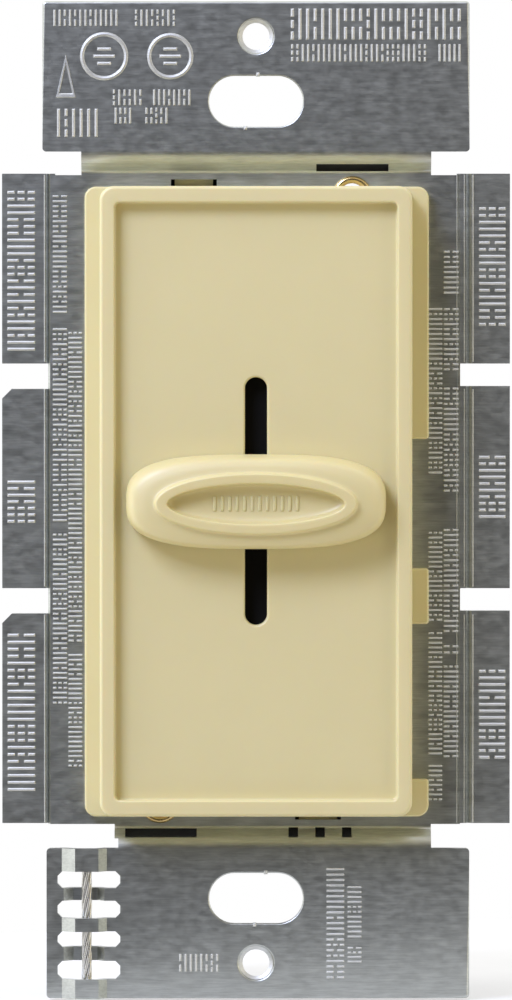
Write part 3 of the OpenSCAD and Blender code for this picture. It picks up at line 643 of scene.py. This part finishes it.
# Rows of strokes: first end, last end, middle of the row across, and the strokes' length
EAR_ROWS = ((-21.3, -14.3, 50.35, 1.75), (-12.8, -8.3, 50.35, 1.75), (-21.0, -16.3, 39.4, 3.0),
            (-15.1, -11.8, 42.05, 1.7), (-10.9, -6.7, 42.05, 1.7), (-14.9, -12.9, 40.15, 1.7),
            (-11.7, -9.1, 40.15, 1.7), (3.4, 21.6, 49.7, 3.3), (3.5, 17.9, 46.7, 1.85),
            (18.9, 21.5, 46.7, 1.85), (-8.2, -3.8, -48.4, 1.9))
EAR_COLUMNS = ((-50.2, -38.3, 8.3, 1.9), (-48.5, -46.6, 10.3, 1.5), (-45.9, -40.2, 10.3, 1.5))
FIN_COLUMNS = ((15.4, 32.5, -24.55, 2.95), (-2.6, 2.2, -24.55, 2.95), (-30.7, -13.8, -24.55, 2.95),
               (18.0, 30.8, 24.7, 2.85), (-2.1, 4.8, 24.7, 2.85), (-27.3, -17.6, 24.7, 2.85))
PLATE_COLUMNS = ((19.4, 32.0, -20.5, 1.55), (-2.4, 18.1, -20.5, 1.55), (-21.5, -3.4, -20.5, 1.55),
                 (-15.0, 17.7, -18.9, 1.5), (-28.1, -16.0, -18.9, 1.5),
                 (21.4, 26.2, 20.4, 1.6), (13.4, 20.2, 20.4, 1.6), (0.7, 11.9, 20.4, 1.6),
                 (-14.0, -2.9, 20.4, 1.6), (-16.3, -15.0, 20.4, 1.6), (-27.1, -17.2, 20.4, 1.6),
                 (2.6, 20.2, 18.75, 1.5), (-12.8, -3.2, 18.75, 1.5), (-26.8, -13.7, 18.75, 1.5),
                 (-31.6, -27.6, 18.75, 1.5))
# Plain rings: middle across and radius
RINGS = ((-15.85, 2.3), (-8.95, 2.2))
RING_Z = 46.35
# Corners of a slim arrow head
ARROW = ((-19.85, 46.6), (-20.9, 42.0), (-18.8, 42.0))
# The burr beside each score line, its place across and its width, and the fins' tops and bottoms
SCORE_BURRS = ((-22.1, 0.18), (22.68, 0.18), (21.78, 0.14), (21.0, 0.12))
FIN_SPANS = ((34.0, 14.4), (11.6, -9.1), (-12.0, -33.8))
# Burrs that the punch leaves on the device slots' long sides
SLOT_BURRS = ((0.2, 44.45), (-1.1, 38.85), (1.0, -38.9), (-0.15, -44.4))


def stroke(bm, x, z, w, h, face):
    """Raised bar with sloped sides and a rounded top, on a front face at depth face."""
    slope = min(0.2, min(w, h) * 0.42)
    corners = ((1, 1), (-1, 1), (-1, -1), (1, -1))
    rings = []
    for inset, height in ((0, -0.03), (slope * 0.45, COIN * 0.62), (slope, COIN)):
        rings.append([(x + sx * (w / 2 - inset), face - height, z + sz * (h / 2 - inset))
                      for sx, sz in corners])
    loft(bm, rings)


def plain_ring(bm, centre, radius):
    """Raised ring on an ear, with three dashes inside."""
    width = 0.5
    section = ((0.5, -0.03), (0.28, COIN * 0.7), (0, COIN), (-0.28, COIN * 0.7), (-0.5, -0.03))
    loft(bm, [circle(centre, radius + share * width, EAR_FRONT - height, 40)
              for share, height in section], closed=True)
    for dz, length in ((0.75, 1.5), (0, 2.3), (-0.75, 1.5)):
        stroke(bm, centre[0], centre[1] + dz, length, 0.4, EAR_FRONT)


def arrow_head(bm):
    """Raised outline of a slim arrow head on the upper ear."""
    tip, left, _ = ARROW
    middle = (tip[0], left[1] + (tip[1] - left[1]) * 0.3)
    rings = []
    for share, height in ((1.0, -0.03), (0.92, COIN), (0.74, COIN), (0.62, -0.03)):
        rings.append([(middle[0] + share * (x - middle[0]), EAR_FRONT - height,
                       middle[1] + share * (z - middle[1])) for x, z in ARROW])
    loft(bm, rings, closed=True)


def build_marks():
    """Plain strokes and rings where such a yoke carries its coined markings, and the tools' burrs."""
    bm = bmesh.new()
    rng = random.Random(7)

    def row(start, end, across, length, face, upright):
        """Strokes side by side from start to end. upright runs them up the face instead of across it."""
        width = 0.15 + 0.075 * length
        pitch = width * 1.95
        count = max(2, round((end - start) / pitch))
        pitch = (end - start) / count
        for i in range(count):
            at = start + (i + 0.5) * pitch
            kind = rng.random()
            pieces = 0 if kind < 0.5 else 1 if kind < 0.8 else 2
            for shift, share in STROKE_PIECES[pieces]:
                if upright:
                    stroke(bm, across + shift * length, at, length * share, width, face)
                else:
                    stroke(bm, at, across - shift * length, width, length * share, face)

    for start, end, across, length in EAR_ROWS:
        row(start, end, across, length, EAR_FRONT, False)
    for start, end, across, length in EAR_COLUMNS:
        row(start, end, across, length, EAR_FRONT, True)
    for start, end, across, length in FIN_COLUMNS + PLATE_COLUMNS:
        row(start, end, across, length, PLATE_FRONT, True)
    for x, radius in RINGS:
        plain_ring(bm, (x, RING_Z), radius)
    arrow_head(bm)
    for x, width in SCORE_BURRS:
        for top, bottom in FIN_SPANS:
            stroke(bm, x, (top + bottom) / 2, width, top - bottom, PLATE_FRONT)
    for x, z in SLOT_BURRS:
        stroke(bm, x, z, 0.4, 0.45, EAR_FRONT)
    # The marks and burrs take the lighter mark metal, so part of their brightness is painted highlight.
    finish_piece(bm, "coined_marks", LIGHTENED_MARK_METAL, ROOT, (), 20, False)


# ---------------------------------------------------------------- housing detail
def frame_rib(bm, half_x, half_z, width, r, height, centre):
    """Raised rib with rounded edges that runs round a rectangle on the housing's back."""
    section = ((0, -0.05), (0, height * 0.6), (width * 0.25, height), (width * 0.75, height),
               (width, height * 0.6), (width, -0.05))
    loft(bm, [rounded(half_x - inset, half_z - inset, r - inset * 0.5, BOX_BACK + lift, centre, 5)
              for inset, lift in section], closed=True)


def pad(bm, centre, half_x, half_z, r, base, height):
    """Low plate with rounded edges on a face at depth base."""
    edge = height * 0.4
    loft(bm, [rounded(half_x, half_z, r, base - 0.05, centre, 5),
              rounded(half_x, half_z, r, base + height - edge, centre, 5),
              rounded(half_x - edge, half_z - edge, r - edge * 0.9, base + height, centre, 5)])


def side_rib(bm, sign, z):
    """Low rib that runs from front to back on one side of the housing."""
    front, back = 6.5, BOX_BACK - 3
    rings = []
    for half, lift in ((0.7, 0), (0.7, 0.12), (0.5, 0.3)):
        x = BOX_SIDE - 0.02 + lift
        rings.append([(sign * x, y, z + dz) for y, dz in ((front - half, -half), (back, -half),
                                                          (back, half), (front - half, half))])
    loft(bm, rings)


def build_housing_detail():
    """A rib round the label's place, ejector marks, a row of strip-gauge pads, and the side ribs."""
    pin_r, pin_places = 1.9, ((-17.5, -27), (17.5, -27), (18, 26.5), (-18, 26.5))
    gauge_x, gauge_z, gauge_pitch = 1.0, -24.2, 3.6
    bm = bmesh.new()
    frame_rib(bm, 17.2, 19.5, 0.9, 1.6, 0.35, (0, LABEL_Z))
    for place in pin_places:
        frame_rib(bm, pin_r, pin_r, 0.35, pin_r - 0.01, 0.09, place)
    for i in range(4):
        pad(bm, (gauge_x + gauge_pitch * i, gauge_z), 1.3, 0.45, 0.3, BOX_BACK, 0.4)
    for sign in (-1, 1):
        for z in range(-27, 28, 9):
            side_rib(bm, sign, z)
    finish_piece(bm, "housing_ribs", BLACK, ROOT, (), 50)


def build_label():
    """Plain foil label inside the rib on the back, with blank printed bars."""
    foil = 0.08
    bm = bmesh.new()
    pad(bm, (0, LABEL_Z), 15, 17.3, 1.2, BOX_BACK, foil)
    finish_piece(bm, "rating_label", LABEL, ROOT, (), 50)
    bm = bmesh.new()
    rng = random.Random(11)
    rows, pitch, top, gap = 9, 3.3, 16, 0.8
    margin, last_start = 12.8, 11
    for i in range(rows):
        half_height = 0.42 if i % 3 else 0.75
        x = -margin
        while x < last_start:
            end = min(x + rng.uniform(1.6, 5.5), margin)
            pad(bm, (-(x + end) / 2, top - pitch * i), (end - x) / 2, half_height, 0.12,
                BOX_BACK + foil, 0.03)
            x = end + gap
    finish_piece(bm, "label_bars", LABEL_INK, ROOT, (), 50)


# ---------------------------------------------------------------- build
def build_object():
    build_housing_detail()
    build_label()
    build_yoke()
    build_threads()
    build_marks()
    build_bezel()
    build_flange()
    build_knob()
    build_grip()
    build_rivets()
    build_conductor()
    from_node("rear_housing", "housing_moulding", BLACK, 0.25, 3)
    for node, obj in frame["nodes"].items():
        if not obj.hide_render:
            obj.data.materials.clear()
            obj.data.materials.append(SLOTS[SLOT_OF[node]])


def build_camera():
    """Almost straight on, from far enough that the view is nearly parallel."""
    camera = bpy.data.cameras.new("camera")
    camera.lens, camera.sensor_width = 400, 36
    half_height = 52.23 * MM
    distance = half_height * camera.lens / (camera.sensor_width / 2)
    camera.clip_start, camera.clip_end = 0.05, 20
    holder = bpy.data.objects.new("camera", camera)
    tilt, aim_z = math.radians(1.5), 0.02 * MM
    holder.location = (0.0, EAR_FRONT * MM - distance * math.cos(tilt),
                       aim_z + distance * math.sin(tilt))
    holder.rotation_euler = (math.radians(90) - tilt, 0, 0)
    bpy.context.scene.collection.objects.link(holder)
    bpy.context.scene.camera = holder


def area_light(name, place, size, power, colour=(1, 1, 1)):
    """Square light of size metres, turned to the object."""
    light = bpy.data.lights.new(name, "AREA")
    light.shape = "RECTANGLE"
    light.size = light.size_y = size
    light.energy, light.color = power, colour
    holder = bpy.data.objects.new(name, light)
    holder.location = place
    holder.rotation_euler = (-Vector(place)).to_track_quat("-Z", "Y").to_euler()
    bpy.context.scene.collection.objects.link(holder)


def build_floor():
    """Small pale floor under the object, lit a little from within, mostly behind it and to the right."""
    bm = bmesh.new()
    bmesh.ops.create_circle(bm, cap_ends=True, radius=0.08, segments=96)
    mesh = bpy.data.meshes.new("floor")
    bm.to_mesh(mesh)
    bm.free()
    m = Nodes("pale_floor")
    m.link(m.mix(m.ramp(m.noise(0.05), 0.3, 0.7), (0.43, 0.43, 0.43), (0.47, 0.47, 0.47)),
           m.shader.inputs["Base Color"])
    m.set(Roughness=0.6, Emission_Color=(1, 1, 1, 1), Emission_Strength=0.4)
    mesh.materials.append(m.mat)
    floor = bpy.data.objects.new("floor", mesh)
    floor.location = (0.03, 0.05, cad_box[0].z - 0.0002)
    bpy.context.scene.collection.objects.link(floor)


def build_world():
    """White where the camera sees it; as light, dim in front of the object and bright round its sides."""
    # How far round from straight ahead (0) to square to the side (1), and the light from there
    stops = ((0.12, (0.045, 0.045, 0.045)), (0.45, (0.86, 0.79, 0.71)), (0.8, (1.25, 1.25, 1.25)))
    lean = -0.14
    world = bpy.data.worlds.new("world")
    bpy.context.scene.world = world
    world.use_nodes = True
    tree = world.node_tree
    new, join = tree.nodes.new, tree.links.new
    split = new("ShaderNodeSeparateXYZ")
    join(new("ShaderNodeTexCoord").outputs["Generated"], split.inputs["Vector"])
    ahead = new("ShaderNodeMapRange")
    ahead.inputs["From Min"].default_value = -1
    ahead.inputs["From Max"].default_value = 0
    join(split.outputs["Y"], ahead.inputs["Value"])
    ramp = new("ShaderNodeValToRGB")
    ramp.color_ramp.elements.new(0.5)
    for element, (position, colour) in zip(ramp.color_ramp.elements, stops):
        element.position, element.color = position, (*colour, 1)
    join(ahead.outputs["Result"], ramp.inputs["Fac"])
    slope = new("ShaderNodeMath")
    slope.operation = "MULTIPLY_ADD"
    slope.inputs[1].default_value, slope.inputs[2].default_value = lean, 1
    join(split.outputs["X"], slope.inputs[0])
    light = tree.nodes["Background"]
    join(ramp.outputs["Color"], light.inputs["Color"])
    join(slope.outputs[0], light.inputs["Strength"])
    seen = new("ShaderNodeBackground")
    seen.inputs["Color"].default_value = (1, 1, 1, 1)
    mix = new("ShaderNodeMixShader")
    join(new("ShaderNodeLightPath").outputs["Is Camera Ray"], mix.inputs[0])
    join(light.outputs[0], mix.inputs[1])
    join(seen.outputs[0], mix.inputs[2])
    join(mix.outputs[0], tree.nodes["World Output"].inputs["Surface"])


def build_lights():
    area_light("key", (-0.34, -0.42, 0.44), 0.28, 3.2, (0.9, 0.99, 1.42))
    area_light("fill", (-0.25, -0.38, -0.06), 0.12, 0.08)
    area_light("side", (0.22, -0.2, 0.0), 0.12, 0.09, (1.0, 0.82, 0.42))
    view = bpy.context.scene.view_settings
    view.view_transform = "Standard"
    view.look = "None"


build_camera()
build_object()
build_floor()
build_world()
build_lights()
